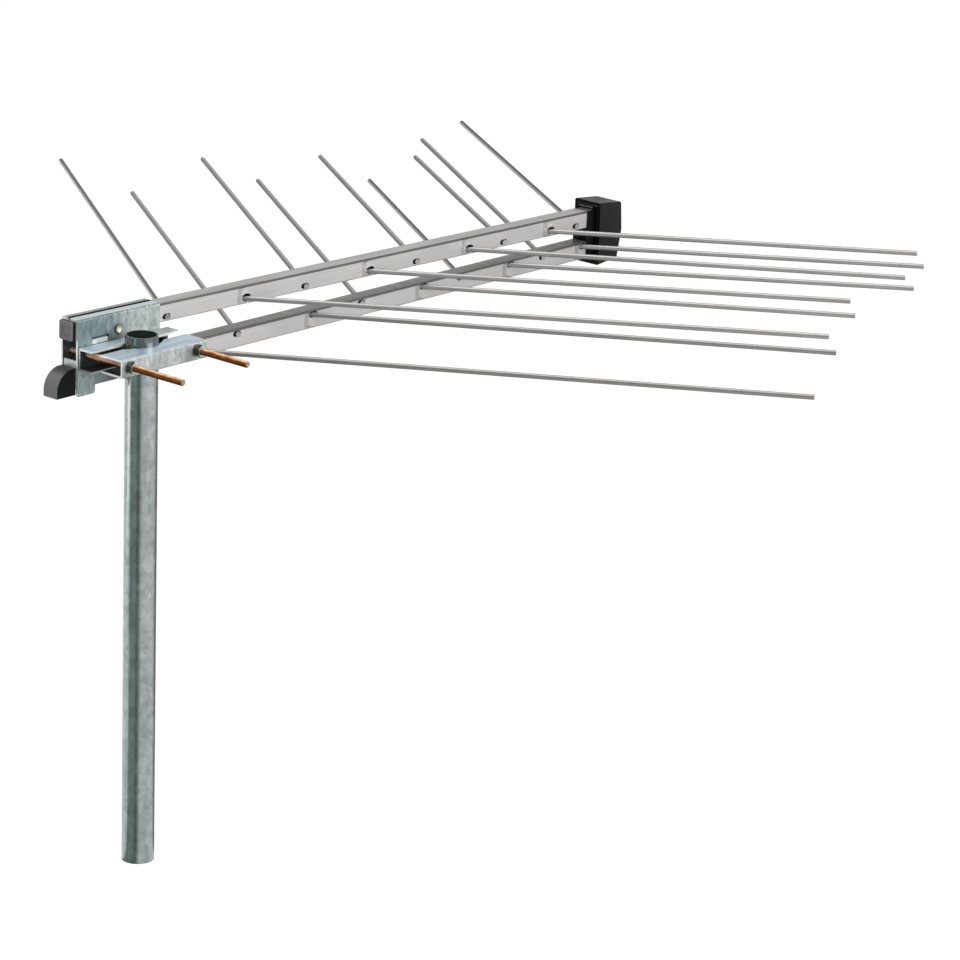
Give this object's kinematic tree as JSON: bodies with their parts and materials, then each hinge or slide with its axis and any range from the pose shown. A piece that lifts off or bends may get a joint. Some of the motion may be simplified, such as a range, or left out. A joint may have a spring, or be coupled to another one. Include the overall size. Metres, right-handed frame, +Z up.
{
  "type": "log-periodic antenna",
  "caption": "Log-periodic antenna: two converging square booms with V-swept rod dipoles, a black feed box and a notched clamp on a length of mast tube.",
  "frame": {"origin": "centre of the mast tube's bottom end", "axes": "+Z up the mast, +X along the booms towards the feed box, +Y to the antenna's left; the booms pass the mast on its +Y side"},
  "size_m": [1.213, 1.2413, 0.6524],
  "materials": {
    "galvanised_tube": "hot-dip galvanised steel with spangle",
    "dark_plug": "matte",
    "boom_aluminium": "plain extruded",
    "rod_aluminium": "plain drawn",
    "galvanised_sheet": "galvanised sheet with bright cut edges",
    "stud_zinc_yellow": "yellow chromated thread",
    "fastener_zinc": "zinc plated",
    "cap_plastic": "satin",
    "box_plastic": "satin",
    "contact_brass": "plain"
  },
  "bodies": {
    "root": {"bracket_plate_left": "galvanised_sheet", "bracket_plate_right": "galvanised_sheet", "bracket_rivets": "fastener_zinc", "bracket_spacer": "galvanised_sheet", "cable_exit_hood": "cap_plastic", "clamp_stud_front": "stud_zinc_yellow", "clamp_stud_rear": "stud_zinc_yellow", "contact_screws": "fastener_zinc", "contact_strip_lower": "contact_brass", "contact_strip_upper": "contact_brass", "element_1_left": "rod_aluminium", "element_1_right": "rod_aluminium", "element_2_left": "rod_aluminium", "element_2_right": "rod_aluminium", "element_3_left": "rod_aluminium", "element_3_right": "rod_aluminium", "element_4_left": "rod_aluminium", "element_4_right": "rod_aluminium", "element_5_left": "rod_aluminium", "element_5_right": "rod_aluminium", "element_6_left": "rod_aluminium", "element_6_right": "rod_aluminium", "element_7_left": "rod_aluminium", "element_7_right": "rod_aluminium", "element_8_left": "rod_aluminium", "element_8_right": "rod_aluminium", "element_9_left": "rod_aluminium", "element_9_right": "rod_aluminium", "feed_box_base": "box_plastic", "feed_box_cover": "box_plastic", "inner_jaw": "galvanised_sheet", "jaw_nuts": "fastener_zinc", "jaw_washers": "fastener_zinc", "lower_boom": "boom_aluminium", "mast_plug": "dark_plug", "mast_tube": "galvanised_tube", "outer_jaw": "galvanised_sheet", "plate_nuts": "fastener_zinc", "upper_boom": "boom_aluminium", "upper_boom_cap": "cap_plastic"}
  },
  "joints": []
}
